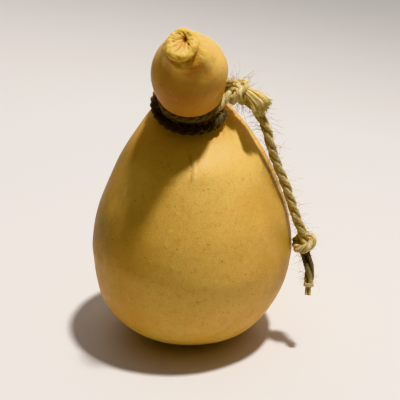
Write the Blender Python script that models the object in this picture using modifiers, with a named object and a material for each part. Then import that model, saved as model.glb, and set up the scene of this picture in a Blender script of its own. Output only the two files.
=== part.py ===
"""Aged caciocavallo: a pear-shaped hung cheese with the sisal rope that it was cured on.

Metres, +Z up.  The origin is the middle of the flat spot that the cheese stands on.  The head
leans towards -Y, and the knot and the free tail of the rope are on the +X side.
"""
import math

import bmesh
import bpy
from mathutils import Vector

# Cheese, measured along its centre line from the flat spot to the nose
BELLY_RADIUS = 0.070
BELLY_AT = 0.0722
BASE_BLUNTNESS = 2.55          # exponent of the base's superellipse: 2 is round, more is blunter
FLAT_SPOT_RADIUS = 0.016
SHOULDER = ((0.0956, 0.0658), (0.1172, 0.0574), (0.1389, 0.0469), (0.1588, 0.0322))
NECK_SLOPE = ((0.1694, 0.0222), (0.1752, 0.0178))
NECK_RADIUS = 0.0152
NECK_AT = 0.1822
GROOVE_PLAY = 0.0007           # how much wider the groove is than the rope in it
HEAD_RADIUS = 0.0251
HEAD_HALF_LENGTH = 0.0309
HEAD_AT = 0.2028
HEAD_TOP_AT = 0.2282
HEAD_BOTTOM_AT = 0.1882
NOSE_RADIUS = 0.0101
NOSE_END = 0.2432
# From the bottom of the pinched hole, over the rim and down the throat to the head:
# share of the nose's radius, and depth below its end
NOSE_PROFILE = (
    (0.0, 0.0065),
    (0.14, 0.0056),
    (0.24, 0.0030),
    (0.40, 0.0012),
    (0.62, 0.0002),
    (0.80, 0.0),
    (0.94, 0.0009),
    (1.00, 0.0025),
    (0.95, 0.0052),
    (0.96, 0.0078),
    (1.10, 0.0102),
    (1.38, 0.0125),
)
LIP_FULLNESS = 0.24            # share by which the nose's lower lip is wider than its upper
LIP_TURN = math.radians(-114)  # where that lip is fullest, counted from +X towards +Y
NECK_LEAN = math.radians(36)
NOSE_LEAN = math.radians(11)
HEAD_DRIFT = -0.0014           # sideways shift of the head's middle
NOSE_DRIFT = -0.0053           # sideways shift of the nose's end
BASE_DRIFT = -0.0022           # sideways sag of the belly's lower part
SHOULDER_DRIFT = 0.0008        # sideways shift of the shoulders
UNEVENNESS = 0.0045            # share of the radius by which the belly is out of round
SIDES = 52

# Rope
ROPE_RADIUS = 0.00325
GAP = 0.0003
UPPER_TURN_AT = NECK_AT
UPPER_TURN_RADIUS = NECK_RADIUS + ROPE_RADIUS + 0.0009
LOWER_TURN_AT = NECK_AT - 0.0082
LOWER_TURN_RADIUS = NECK_RADIUS + ROPE_RADIUS + 0.00605
# Where each turn leaves the neck for the knot, in front and behind, and how far ahead it aims
UPPER_TURN_LEAVES = (math.radians(39), math.radians(58))
LOWER_TURN_LEAVES = (math.radians(50), math.radians(62))
UPPER_TURN_RUN = 0.0065
BACK_RUN = 0.0065
# The lower turn's end climbs towards the upper: height, distance from the centre line and turn
LOWER_TURN_END = (
    (0.1751, 0.0231, math.radians(-24)),
    (0.1748, 0.0235, math.radians(-33)),
    (0.1745, 0.0239, math.radians(-42)),
)

# Knot beside the neck.  Places on it are measured towards -Y and upwards from its axis.
KNOT_CENTRE = Vector((0.0315, -0.0082, 0.1802))
KNOT_AXIS = Vector((1.0, 0.0, -0.27)).normalized()
KNOT_HALF_LENGTH = 0.0058
FRONT_INLET = (0.0055, -0.0030)
TOP_INLET = (-0.0014, 0.0042)
BACK_INLET = (-0.0056, -0.0019)
INLET_RUN = 0.002
KNOT_CORE_RADIUS = 0.0063
# Each wrap's place along the knot's axis, how far its own axis leans from that, its radius
# and its thickness
KNOT_WRAPS = (
    (-0.0024, Vector((0.0, 0.0, 0.12)), 0.0057, 0.0026),
    (0.0026, Vector((0.0, 0.0, 0.04)), 0.0054, 0.0026),
)
TUFT_START = (0.0016, 0.0028)
TUFT_END = Vector((0.0482, -0.0195, 0.1744))
TUFT_END_RADIUS = 0.0060

# Free tail, from the knot to its own end knot and the stub below it
END_KNOT_CENTRE = Vector((0.0774, -0.0185, 0.0756))
END_KNOT_AXIS = Vector((0.20, -0.10, -1.0)).normalized()
END_KNOT_HALF_LENGTH = 0.0046
END_KNOT_CORE_RADIUS = 0.0050
END_KNOT_WRAPS = ((0.0, Vector((0.24, 0.37, 0.10)), 0.0061, 0.0030),)
TAIL_ROUTE = (
    (0.0366, -0.0060, 0.1735),
    (0.0391, -0.0062, 0.1721),
    (0.0417, -0.0079, 0.1697),
    (0.0441, -0.0105, 0.1664),
    (0.0471, -0.0132, 0.1620),
    (0.0498, -0.0145, 0.1556),
    (0.0519, -0.0148, 0.1480),
    (0.0545, -0.0149, 0.1398),
    (0.0576, -0.0149, 0.1314),
    (0.0607, -0.0149, 0.1239),
    (0.0640, -0.0150, 0.1162),
    (0.0666, -0.0154, 0.1081),
    (0.0692, -0.0159, 0.1002),
    (0.0720, -0.0167, 0.0926),
    (0.0754, -0.0176, 0.0847),
    (0.0764, -0.0180, 0.0805),
)
STUB_ROUTE = (
    (0.0786, -0.0190, 0.0702),
    (0.0791, -0.0197, 0.0674),
    (0.0799, -0.0218, 0.0636),
    (0.0807, -0.0246, 0.0597),
    (0.0811, -0.0270, 0.0553),
    (0.0807, -0.0293, 0.0501),
    (0.0800, -0.0313, 0.0451),
    (0.0797, -0.0322, 0.0423),
)
STUB_RADIUS = 0.0031
WHIPPING_WIDTH = 0.0030
WHIPPING_WALL = 0.0007

UP = Vector((0.0, 0.0, 1.0))
MERGE_DISTANCE = 0.00002
ROUND_SIDES = 24


def clear_scene():
    for thing in list(bpy.data.objects):
        bpy.data.objects.remove(thing, do_unlink=True)


def make_collection(name):
    group = bpy.data.collections.new(name)
    bpy.context.scene.collection.children.link(group)
    return group


def make_material(name, colour, roughness):
    material = bpy.data.materials.new(name)
    material.use_nodes = True
    shader = material.node_tree.nodes["Principled BSDF"]
    shader.inputs["Base Color"].default_value = (*colour, 1.0)
    shader.inputs["Roughness"].default_value = roughness
    return material


def ease(value, start, stop):
    """Smooth ramp from 0 at start to 1 at stop."""
    share = min(1.0, max(0.0, (value - start) / (stop - start)))
    return share * share * (3.0 - 2.0 * share)


def smooth_route(points, spacing):
    """Points about one spacing apart on a Catmull-Rom curve through the given points."""
    points = [Vector(point) for point in points]
    ends = [2 * points[0] - points[1], *points, 2 * points[-1] - points[-2]]
    route = []
    for before, start, stop, after in zip(ends, ends[1:], ends[2:], ends[3:]):
        steps = max(1, round((stop - start).length / spacing))
        for step in range(steps):
            t = step / steps
            bent = (
                2 * start
                + (stop - before) * t
                + (2 * before - 5 * start + 4 * stop - after) * t**2
                + (3 * start - before - 3 * stop + after) * t**3
            )
            route.append(bent / 2)
    route.append(points[-1])
    return route


def turn_about(piece, axis):
    """Turns a piece made along Z so that it lies along the axis."""
    piece.rotation_mode = "QUATERNION"
    piece.rotation_quaternion = UP.rotation_difference(axis)


def add_screw(piece, sides):
    """Spins the piece's profile once round Z into a closed body."""
    screw = piece.modifiers.new("Turn", "SCREW")
    screw.steps = sides
    screw.render_steps = sides
    screw.use_merge_vertices = True
    screw.merge_threshold = MERGE_DISTANCE


# Cheese


def nose_outline():
    return [(share * NOSE_RADIUS, NOSE_END - depth) for share, depth in NOSE_PROFILE]


def head_outline():
    """The egg-shaped head, from the throat down to the groove."""
    count = 11
    marks = []
    for step in range(count + 1):
        height = HEAD_TOP_AT + (HEAD_BOTTOM_AT - HEAD_TOP_AT) * step / count
        share = (height - HEAD_AT) / HEAD_HALF_LENGTH
        marks.append((HEAD_RADIUS * math.sqrt(1.0 - share * share), height))
    return marks


def groove_outline():
    """The groove under the head that the rope bites into."""
    room = ROPE_RADIUS + GROOVE_PLAY
    middle = NECK_RADIUS + room
    marks = []
    for degrees in (12, -18, -48, -78, -104, -128):
        angle = math.radians(degrees)
        marks.append((middle + room * math.sin(angle), NECK_AT + room * math.cos(angle)))
    return marks


def shoulder_outline():
    """Smooth curve from the groove down to the belly's widest ring."""
    marks = [Vector((BELLY_RADIUS, BELLY_AT, 0.0))]
    marks += [Vector((radius, height, 0.0)) for height, radius in SHOULDER + NECK_SLOPE]
    curve = smooth_route(marks, 0.0062)
    return [(point.x, point.y) for point in reversed(curve)]


def base_height(radius):
    share = (radius / BELLY_RADIUS) ** BASE_BLUNTNESS
    return BELLY_AT * (1.0 - (1.0 - share) ** (1.0 / BASE_BLUNTNESS))


def base_outline():
    """Blunt underside, from below the widest ring to the flat spot."""
    sink = base_height(FLAT_SPOT_RADIUS)
    count = 13
    marks = []
    for step in range(1, count):
        angle = 0.5 * math.pi * (1.0 - step / count)
        radius = BELLY_RADIUS * math.sin(angle) ** (2.0 / BASE_BLUNTNESS)
        height = base_height(radius)
        if radius > 1.15 * FLAT_SPOT_RADIUS:
            marks.append((radius, height - sink * (1.0 - ease(height, 0.0, BELLY_AT))))
    return marks + [(FLAT_SPOT_RADIUS, 0.0), (0.0, 0.0)]


def lean_at(height):
    """How far the centre line leans forward, as an angle from upright."""
    return (NECK_LEAN * ease(height, 0.134, 0.190)
            + NOSE_LEAN * ease(height, 0.190, NOSE_END))


def drift_at(height):
    """How far the centre line lies to the side."""
    low = (height - 0.028) / 0.020
    return (BASE_DRIFT * math.exp(-low * low) * ease(height, 0.0, 0.006)
            + SHOULDER_DRIFT * ease(height, 0.080, 0.125)
            + (HEAD_DRIFT - SHOULDER_DRIFT) * ease(height, 0.150, HEAD_AT)
            + (NOSE_DRIFT - HEAD_DRIFT) * ease(height, NOSE_END - 0.024, NOSE_END))


def girth_at(turn, height):
    """How much wider than round the form is on one side, as a factor."""
    belly = ease(height, 0.0, 0.03) * (1.0 - ease(height, 0.120, 0.165))
    waves = math.cos(2 * turn + 0.7) + 0.6 * math.cos(3 * turn - 1.1 + 9.0 * height)
    nose = ease(height, NOSE_END - 0.014, NOSE_END - 0.004)
    return 1.0 + UNEVENNESS * belly * waves + LIP_FULLNESS * nose * max(0.0, math.cos(turn - LIP_TURN))


def centre_line():
    """Places on the leaning centre line, one every half millimetre of its length."""
    step = 0.0005
    place = Vector((0.0, 0.0, 0.0))
    line = []
    for index in range(int(NOSE_END / step) + 8):
        line.append(place.copy())
        lean = lean_at((index + 0.5) * step)
        place += step * Vector((0.0, -math.sin(lean), math.cos(lean)))
    return step, line


LINE_STEP, LINE = centre_line()


def bend(x, y, height):
    """Moves a point of the straight turned form to its place on the leaning cheese."""
    share = max(0.0, height) / LINE_STEP
    index = min(int(share), len(LINE) - 2)
    lean = lean_at(height)
    across = Vector((0.0, math.cos(lean), math.sin(lean)))
    girth = girth_at(math.atan2(y, x), height)
    place = LINE[index].lerp(LINE[index + 1], share - index)
    place += girth * (Vector((x, 0.0, 0.0)) + y * across)
    place.x += drift_at(height)
    return place


def add_cheese(group, material):
    """Turns the outline into a straight form, then bends that to the leaning cheese."""
    outline = (nose_outline() + head_outline() + groove_outline()
               + shoulder_outline() + base_outline())
    profile = bpy.data.meshes.new("cheese outline")
    edges = [(index, index + 1) for index in range(len(outline) - 1)]
    profile.from_pydata([(radius, 0.0, height) for radius, height in outline], edges, [])
    straight = bpy.data.objects.new("cheese turned", profile)
    group.objects.link(straight)
    add_screw(straight, SIDES)
    view = bpy.context.evaluated_depsgraph_get()
    turned = bpy.data.meshes.new_from_object(straight.evaluated_get(view))
    bpy.data.objects.remove(straight, do_unlink=True)
    for vertex in turned.vertices:
        vertex.co = bend(*vertex.co)
    turned.shade_smooth()
    turned.set_sharp_from_angle(angle=math.radians(50))
    turned.materials.clear()
    turned.materials.append(material)
    group.objects.link(bpy.data.objects.new("cheese", turned))


# Rope


def beside_cheese(height, distance, turn):
    """Point at a distance from the centre line, at a turn counted from +X towards +Y."""
    return bend(distance * math.cos(turn), distance * math.sin(turn), height)


def add_rope(group, name, material, points, radius, widths=None):
    """A round rope along the points, its width there times each of the widths."""
    curve = bpy.data.curves.new(name, "CURVE")
    curve.dimensions = "3D"
    curve.bevel_depth = radius
    curve.bevel_resolution = 3
    curve.use_fill_caps = True
    spline = curve.splines.new("POLY")
    spline.points.add(len(points) - 1)
    for index, point in enumerate(points):
        spline.points[index].co = (*point, 1.0)
        if widths:
            spline.points[index].radius = widths[index]
    curve.materials.append(material)
    group.objects.link(bpy.data.objects.new(name, curve))


def knot_place(along, front, up):
    """Point of the neck knot: along its axis, towards -Y, and upwards."""
    side = Vector((0.0, -1.0, 0.0))
    return KNOT_CENTRE + along * KNOT_AXIS + front * side + up * side.cross(KNOT_AXIS)


def knot_inlet(place):
    """Two points on the straight run into the knot's near face, the outer one first."""
    face = -KNOT_HALF_LENGTH - GAP
    return [knot_place(face - INLET_RUN, *place), knot_place(face, *place)]


def off_the_ring(height, distance, turn, run):
    """Point on the ring's tangent at a turn, the given run ahead of where it touches."""
    return beside_cheese(height, math.hypot(distance, run), turn + math.atan2(run, distance))


def neck_turn(height, distance, leaves, front_end, back_end):
    """One turn round the neck, from beside the knot by the front and back to the knot."""
    steps = 24
    start = -leaves[0]
    stop = -2 * math.pi + leaves[1]
    ring = []
    for step in range(steps + 1):
        ring.append(beside_cheese(height, distance, start + (stop - start) * step / steps))
    lead_out = [off_the_ring(height, distance, stop, -BACK_RUN)] + back_end
    return smooth_route(front_end + ring + lead_out, 0.006)


def add_neck_turns(group, material):
    """The rope's two turns under the head: the upper in the groove, the lower beside it."""
    lead_in = knot_inlet(FRONT_INLET)[::-1]
    lead_in.append(off_the_ring(UPPER_TURN_AT, UPPER_TURN_RADIUS, -UPPER_TURN_LEAVES[0],
                                UPPER_TURN_RUN))
    tucked_end = [beside_cheese(*place) for place in LOWER_TURN_END]
    upper = neck_turn(UPPER_TURN_AT, UPPER_TURN_RADIUS, UPPER_TURN_LEAVES,
                      lead_in, knot_inlet(TOP_INLET))
    lower = neck_turn(LOWER_TURN_AT, LOWER_TURN_RADIUS, LOWER_TURN_LEAVES,
                      tucked_end, knot_inlet(BACK_INLET))
    add_rope(group, "neck_turn_upper", material, upper, ROPE_RADIUS)
    add_rope(group, "neck_turn_lower", material, lower, ROPE_RADIUS)


def add_knot_core(group, name, centre, axis, half_length, radius):
    mesh = bpy.data.meshes.new(name)
    shape = bmesh.new()
    bmesh.ops.create_cone(shape, cap_ends=True, segments=ROUND_SIDES, radius1=radius,
                          radius2=radius, depth=2 * half_length)
    shape.to_mesh(mesh)
    shape.free()
    core = bpy.data.objects.new(name, mesh)
    core.location = centre
    turn_about(core, axis)
    group.objects.link(core)
    return core


def add_wrap(helpers, name, centre, axis, radius, thickness):
    """One strand wrapped round a knot, as a ring that is joined to it later."""
    bpy.ops.mesh.primitive_torus_add(major_radius=radius, minor_radius=thickness,
                                     major_segments=ROUND_SIDES, minor_segments=12)
    wrap = bpy.context.object
    wrap.name = name
    wrap.location = centre
    turn_about(wrap, axis)
    for home in list(wrap.users_collection):
        home.objects.unlink(wrap)
    helpers.objects.link(wrap)
    wrap.hide_render = True
    wrap.display_type = "WIRE"
    return wrap


def add_knot(group, helpers, name, material, centre, axis, half_length, core_radius, wraps):
    """A bundle of strands with wraps pulled tight round it, joined into one body."""
    knot = add_knot_core(group, name, centre, axis, half_length, core_radius)
    knot.data.materials.append(material)
    for number, (along, lean, radius, thickness) in enumerate(wraps, 1):
        join = knot.modifiers.new(f"Wrap {number}", "BOOLEAN")
        join.operation = "UNION"
        join.solver = "EXACT"
        join.object = add_wrap(helpers, f"{name} wrap {number}", centre + along * axis,
                               (axis + lean).normalized(), radius, thickness)


def add_tuft(group, material):
    """The cut end beside the knot, its fibres sprung open like a brush."""
    start = knot_place(KNOT_HALF_LENGTH + GAP, *TUFT_START)
    straight = start + 0.003 * KNOT_AXIS
    points = smooth_route((start, straight, start.lerp(TUFT_END, 0.6), TUFT_END), 0.004)
    last = len(points) - 1
    flare = TUFT_END_RADIUS / ROPE_RADIUS - 1.0
    widths = [1.0 + flare * ease(index, 0, last) for index in range(last + 1)]
    add_rope(group, "frayed_tuft", material, points, ROPE_RADIUS, widths)


def add_tail(group, material):
    add_rope(group, "rope_tail", material, smooth_route(TAIL_ROUTE, 0.007), ROPE_RADIUS)
    add_rope(group, "tail_stub", material, smooth_route(STUB_ROUTE, 0.007), STUB_RADIUS)


def add_whipping(group, material):
    """Turns of thread that stop the stub's end from opening, as one band."""
    top, bottom = Vector(STUB_ROUTE[-3]), Vector(STUB_ROUTE[-2])
    inner = STUB_RADIUS + GAP
    outer = inner + WHIPPING_WALL
    half = WHIPPING_WIDTH / 2
    corners = [(inner, 0, half), (outer, 0, half), (outer, 0, -half), (inner, 0, -half)]
    profile = bpy.data.meshes.new("end_whipping")
    profile.from_pydata(corners, [(0, 1), (1, 2), (2, 3), (3, 0)], [])
    profile.materials.append(material)
    band = bpy.data.objects.new("end_whipping", profile)
    band.location = top.lerp(bottom, 0.3)
    turn_about(band, top - bottom)
    add_screw(band, ROUND_SIDES)
    group.objects.link(band)


def main():
    clear_scene()
    group = make_collection("caciocavallo")
    helpers = make_collection("helpers")
    rind = make_material("rind", (0.66, 0.37, 0.08), 0.42)
    sisal = make_material("sisal", (0.62, 0.45, 0.20), 0.85)
    thread = make_material("thread", (0.60, 0.46, 0.22), 0.7)
    add_cheese(group, rind)
    add_neck_turns(group, sisal)
    add_knot(group, helpers, "neck_knot", sisal, KNOT_CENTRE, KNOT_AXIS, KNOT_HALF_LENGTH,
             KNOT_CORE_RADIUS, KNOT_WRAPS)
    add_tuft(group, sisal)
    add_tail(group, sisal)
    add_knot(group, helpers, "end_knot", sisal, END_KNOT_CENTRE, END_KNOT_AXIS,
             END_KNOT_HALF_LENGTH, END_KNOT_CORE_RADIUS, END_KNOT_WRAPS)
    add_whipping(group, thread)


main()
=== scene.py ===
"""Aged caciocavallo on its rope: the finished look of each piece, in the order it is made.

The curd is shaped and dried first.  Then the rope is laid, tied round the neck and knotted.
Lengths are metres.  Turns are counted round the cheese from +X towards +Y.
"""
import math
import random

import bpy
import numpy as np
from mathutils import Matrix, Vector, noise


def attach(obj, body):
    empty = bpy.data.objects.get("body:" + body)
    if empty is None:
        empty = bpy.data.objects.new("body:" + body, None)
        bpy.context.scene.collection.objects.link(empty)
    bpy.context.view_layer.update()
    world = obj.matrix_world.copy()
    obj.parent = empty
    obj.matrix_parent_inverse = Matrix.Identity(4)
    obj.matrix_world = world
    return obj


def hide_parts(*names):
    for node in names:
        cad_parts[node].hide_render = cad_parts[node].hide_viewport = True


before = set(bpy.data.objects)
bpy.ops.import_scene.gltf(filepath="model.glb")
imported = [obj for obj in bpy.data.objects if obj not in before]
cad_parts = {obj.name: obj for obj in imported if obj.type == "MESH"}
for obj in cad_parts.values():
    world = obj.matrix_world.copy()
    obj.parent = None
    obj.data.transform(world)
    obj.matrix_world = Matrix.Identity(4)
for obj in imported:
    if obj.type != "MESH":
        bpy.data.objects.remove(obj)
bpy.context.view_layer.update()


# -------------------- camera
# A long lens at arm's length, looking a little down on the cheese from the front.  The frame is
# shifted a little sideways, so that the cheese stands left of its middle.

CAMERA_DISTANCE = 0.700
CAMERA_ELEVATION = math.radians(22.7)
CAMERA_AIM_HEIGHT = 0.0998
LENS_LENGTH_MM = 90.2
FRAME_WIDTH_MM = 36.0
FRAME_SHIFT = 0.02

camera_data = bpy.data.cameras.new("camera")
camera_data.sensor_width = FRAME_WIDTH_MM
camera_data.lens = LENS_LENGTH_MM
camera_data.shift_x = FRAME_SHIFT
camera = bpy.data.objects.new("camera", camera_data)
camera.location = (
    0.0,
    -CAMERA_DISTANCE * math.cos(CAMERA_ELEVATION),
    CAMERA_AIM_HEIGHT + CAMERA_DISTANCE * math.sin(CAMERA_ELEVATION),
)
camera.rotation_euler = (math.pi / 2 - CAMERA_ELEVATION, 0.0, 0.0)
bpy.context.scene.collection.objects.link(camera)
bpy.context.scene.camera = camera


# -------------------- cheese
# One lump of stretched curd, kneaded into a pear, pinched shut at the nose and tied off below
# the head.  Brined and hung for months, it has dried outside to a smooth, waxy golden rind with
# shallow hand marks, pleats at the nose and small blisters.

BELLY_RADIUS = 0.070
BELLY_AT = 0.0722
BASE_BLUNTNESS = 2.55
BASE_STEPS = 13
FLAT_SPOT_RADIUS = 0.016
FLAT_SPOT_RINGS = (0.8, 0.5, 0.2)
SHOULDER = ((0.0956, 0.0658), (0.1172, 0.0574), (0.1389, 0.0469), (0.1588, 0.0322))
NECK_SLOPE = ((0.1694, 0.0222), (0.1752, 0.0178))
NECK_RADIUS = 0.0152
NECK_AT = 0.1822
ROPE_RADIUS = 0.00325
ROPE_PLAY = 0.0007
GROOVE_RADIUS = ROPE_RADIUS + ROPE_PLAY
GROOVE_TURNS = (12, -18, -48, -78, -104, -128)
HEAD_RADIUS = 0.0251
HEAD_HALF_LENGTH = 0.0309
HEAD_AT = 0.2028
HEAD_TOP_AT = 0.2246
HEAD_BOTTOM_AT = 0.1882
NOSE_RADIUS = 0.0094
NOSE_END = 0.2432
NOSE_PROFILE = (
    (0.0, 0.0030), (0.10, 0.0027), (0.22, 0.0018), (0.38, 0.0009), (0.60, 0.0002), (0.80, 0.0),
    (0.95, 0.0009), (1.00, 0.0024), (0.935, 0.0050), (1.05, 0.0068), (1.30, 0.0090),
    (1.53, 0.0116),
)
LIP_FULLNESS = 0.40
LIP_TURN = math.radians(-114)
NECK_LEAN = math.radians(36)
NECK_LEANS_FROM = 0.134
NOSE_LEAN = math.radians(11)
NOSE_LEANS_FROM = 0.190
HEAD_DRIFT = -0.0014
NOSE_DRIFT = -0.0053
BASE_DRIFT = -0.0022
BASE_DRIFT_AT = 0.028
SHOULDER_DRIFT = 0.0008
UNEVENNESS = 0.0045
MARKS_PER_SPAN = 12
LINE_STEP = 0.0005
CHEESE_SIDES = 264
NOSE_SPACING = 0.00036
CHEESE_SPACING = 0.00125


def ease(value, start, stop):
    """Smooth ramp from 0 at start to 1 at stop."""
    share = np.clip((value - start) / (stop - start), 0.0, 1.0)
    return share * share * (3.0 - 2.0 * share)


def band(value, start, full, fade, stop):
    """1 from full to fade, with smooth ramps on both sides."""
    return ease(value, start, full) * (1.0 - ease(value, fade, stop))


def hump(value, middle, width):
    """1 at the middle, falling to 0 about one width away."""
    return np.exp(-(((value - middle) / width) ** 2))


def through(points):
    """Catmull-Rom curve through the points."""
    points = np.asarray(points, float)
    points = np.vstack([2 * points[0] - points[1], points, 2 * points[-1] - points[-2]])
    t = np.linspace(0.0, 1.0, MARKS_PER_SPAN, endpoint=False)[:, None]
    spans = []
    for a, b, c, d in zip(points, points[1:], points[2:], points[3:]):
        spans.append(b + ((c - a) * t + (2 * a - 5 * b + 4 * c - d) * t**2
                          + (3 * b - a - 3 * c + d) * t**3) / 2)
    return np.vstack([*spans, points[-2:-1]])


def evenly(points, spacing):
    """The same line, with its points about one spacing apart."""
    run = np.concatenate([[0.0], np.cumsum(np.linalg.norm(np.diff(points, axis=0), axis=1))])
    marks = np.linspace(0.0, run[-1], max(2, round(run[-1] / spacing) + 1))
    return np.column_stack([np.interp(marks, run, column) for column in points.T])


def base_height(radius):
    """Height of the rounded base at a radius, before its flat spot is pressed in."""
    share = (radius / BELLY_RADIUS) ** BASE_BLUNTNESS
    return BELLY_AT * (1.0 - (1.0 - share) ** (1.0 / BASE_BLUNTNESS))


def turned_outline():
    """Radius and height of the straight form, from the nose's hole down to the flat spot."""
    nose = [(share * NOSE_RADIUS, NOSE_END - depth) for share, depth in NOSE_PROFILE]
    head = []
    for height in np.linspace(HEAD_TOP_AT, HEAD_BOTTOM_AT, 12):
        share = (height - HEAD_AT) / HEAD_HALF_LENGTH
        head.append((HEAD_RADIUS * math.sqrt(1.0 - share * share), height))
    groove = []
    for angle in np.radians(GROOVE_TURNS):
        groove.append((NECK_RADIUS + GROOVE_RADIUS * (1.0 + math.sin(angle)),
                       NECK_AT + GROOVE_RADIUS * math.cos(angle)))
    slope = [(radius, height) for height, radius in (SHOULDER + NECK_SLOPE)[::-1]]
    base = []
    sink = base_height(FLAT_SPOT_RADIUS)
    for step in range(BASE_STEPS):
        inward = math.cos(0.5 * math.pi * step / BASE_STEPS)
        radius = BELLY_RADIUS * inward ** (2.0 / BASE_BLUNTNESS)
        height = base_height(radius)
        if radius > 1.15 * FLAT_SPOT_RADIUS:
            base.append((radius, height - sink * (1.0 - ease(height, 0.0, BELLY_AT))))
    before_hole = [(-0.0005, NOSE_END - NOSE_PROFILE[0][1])]
    marks = before_hole + nose + head + groove + slope + base + [(FLAT_SPOT_RADIUS, 0.0)]
    line = through(marks)
    nose_marks = MARKS_PER_SPAN * len(nose)
    tip = evenly(line[:nose_marks + 1], NOSE_SPACING)
    body = evenly(line[nose_marks:], CHEESE_SPACING)
    flat = [(FLAT_SPOT_RADIUS * share, 0.0) for share in FLAT_SPOT_RINGS]
    return np.vstack([tip[tip[:, 0] > 0.00005][:-1], body, flat])


def lean_at(height):
    """How far the cheese leans forward at a height of the straight form."""
    return (NECK_LEAN * ease(height, NECK_LEANS_FROM, NOSE_LEANS_FROM)
            + NOSE_LEAN * ease(height, NOSE_LEANS_FROM, NOSE_END))


def drift_at(height):
    """How far the middle has sagged sideways at a height of the straight form."""
    return (BASE_DRIFT * hump(height, BASE_DRIFT_AT, 0.020) * ease(height, 0.0, 0.006)
            + SHOULDER_DRIFT * ease(height, 0.080, 0.125)
            + (HEAD_DRIFT - SHOULDER_DRIFT) * ease(height, 0.150, HEAD_AT)
            + (NOSE_DRIFT - HEAD_DRIFT) * ease(height, NOSE_END - 0.024, NOSE_END))


def girth_at(turn, height):
    """How much wider than round the form is on one side, as a factor."""
    belly = band(height, 0.0, 0.03, 0.120, 0.165)
    waves = np.cos(2 * turn + 0.7) + 0.6 * np.cos(3 * turn - 1.1 + 9.0 * height)
    lip = np.maximum(0, np.cos(turn - LIP_TURN)) ** 2
    lip *= ease(height, NOSE_END - 0.014, NOSE_END - 0.004)
    return 1.0 + UNEVENNESS * belly * waves + LIP_FULLNESS * lip


# the cheese's leaning middle line: heights of the straight form, and where they come to lie
LINE_HEIGHT = np.arange(0.0, NOSE_END + 0.004, LINE_STEP)
LINE_LEAN = lean_at(LINE_HEIGHT[:-1] + LINE_STEP / 2)
LINE_Y = np.concatenate([[0.0], np.cumsum(-LINE_STEP * np.sin(LINE_LEAN))])
LINE_Z = np.concatenate([[0.0], np.cumsum(LINE_STEP * np.cos(LINE_LEAN))])


def bend(turn, radius, height):
    """Place on the leaning cheese of a point on the straight form."""
    reach = radius * girth_at(turn, height)
    lean = lean_at(height)
    across = reach * np.sin(turn)
    x = reach * np.cos(turn) + drift_at(height)
    y = np.interp(height, LINE_HEIGHT, LINE_Y) + across * np.cos(lean)
    z = np.interp(height, LINE_HEIGHT, LINE_Z) + across * np.sin(lean)
    return np.stack([x, y, z], axis=-1)


def noise_over(points, size, seed=0.0):
    """Perlin noise at each point, with lumps of about the given size."""
    shape = points.shape[:-1]
    flat = (points.reshape(-1, 3) / size + seed).tolist()
    return np.array([noise.noise(point) for point in flat]).reshape(shape)


outline = turned_outline()
slopes = np.gradient(outline, axis=0)
slopes /= np.linalg.norm(slopes, axis=1)[:, None]
turn = np.linspace(-math.pi, math.pi, CHEESE_SIDES, endpoint=False)[None, :]
radius = np.repeat(outline[:, :1], CHEESE_SIDES, axis=1)
height = np.repeat(outline[:, 1:], CHEESE_SIDES, axis=1)
turn = np.repeat(turn, len(outline), axis=0)
straight = np.stack([radius * np.cos(turn), radius * np.sin(turn), height], axis=-1)


def near(turn_degrees, at_height, at_radius, width, tall=None):
    """1 at a spot of the straight form, falling to 0 about one width away."""
    angle = math.radians(turn_degrees)
    spot = np.array([at_radius * math.cos(angle), at_radius * math.sin(angle), at_height])
    away = (straight - spot) / np.array([width, width, tall or width])
    return np.exp(-(away**2).sum(axis=-1))


def spots(rows):
    """Soft spots, each a strength and then its turn, height, radius, width and tallness."""
    return sum(strength * near(*spot) for strength, *spot in rows)


# where the body, the nose and all but the flat spot are, and the radius in noses
on_body = band(height, 0.0, 0.012, 0.150, 0.172)
on_nose = ease(height, NOSE_END - 0.0125, NOSE_END - 0.006)
off_flat = ease(height, 0.0005, 0.006)
across = radius / NOSE_RADIUS

# hand marks, smaller dents, and the long pleats of a hung curd
HAND_MARK_RISE, HAND_MARK_WIDTH = 0.00042, 0.030
DENT_RISE, DENT_WIDTH = 0.00014, 0.011
PLEAT_RISE, PLEAT_WIDTH, PLEAT_DRAWN_OUT = 0.00010, 0.0075, np.array([1, 1, 0.16])
rise = HAND_MARK_RISE * noise_over(straight, HAND_MARK_WIDTH) * off_flat * (1 - on_nose)
rise += DENT_RISE * noise_over(straight, DENT_WIDTH, 7.0) * off_flat * (1 - on_nose)
rise += PLEAT_RISE * noise_over(straight * PLEAT_DRAWN_OUT, PLEAT_WIDTH, 3.0) * on_body

# two soft valleys run from the throat of the nose down the front of the head
front = turn + math.pi / 2
throat = band(height, 0.214, 0.2290, 0.2360, 0.2400)
valleys = hump(front, 0.66, 0.24) + 0.9 * hump(front, -0.86, 0.28)
rise -= 0.00062 * throat * valleys

# creases pinched in towards the nose's hole: turn, first and last share of the nose's radius,
# width and depth
NOSE_CREASES = (
    (92, 0.00, 0.72, 0.00060, 0.000357), (66, 0.20, 0.60, 0.00040, 0.000147),
    (116, 0.40, 0.85, 0.00035, 0.000147), (141, 0.30, 0.62, 0.00035, 0.000168),
    (158, 0.55, 0.95, 0.00030, 0.000189), (171, 0.18, 0.74, 0.00040, 0.000252),
    (184, 0.50, 0.96, 0.00030, 0.000210), (197, 0.62, 1.00, 0.00030, 0.000189),
    (210, 0.30, 0.60, 0.00035, 0.000189), (226, 0.58, 0.95, 0.00030, 0.000168),
    (241, 0.40, 0.78, 0.00035, 0.000273), (262, 0.20, 0.50, 0.00040, 0.000126),
    (284, 0.62, 0.92, 0.00035, 0.000126), (312, 0.12, 0.62, 0.00050, 0.000252),
    (331, 0.55, 0.90, 0.00035, 0.000168), (8, 0.30, 0.70, 0.00035, 0.000126),
    (34, 0.50, 0.92, 0.00035, 0.000147),
)
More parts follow.
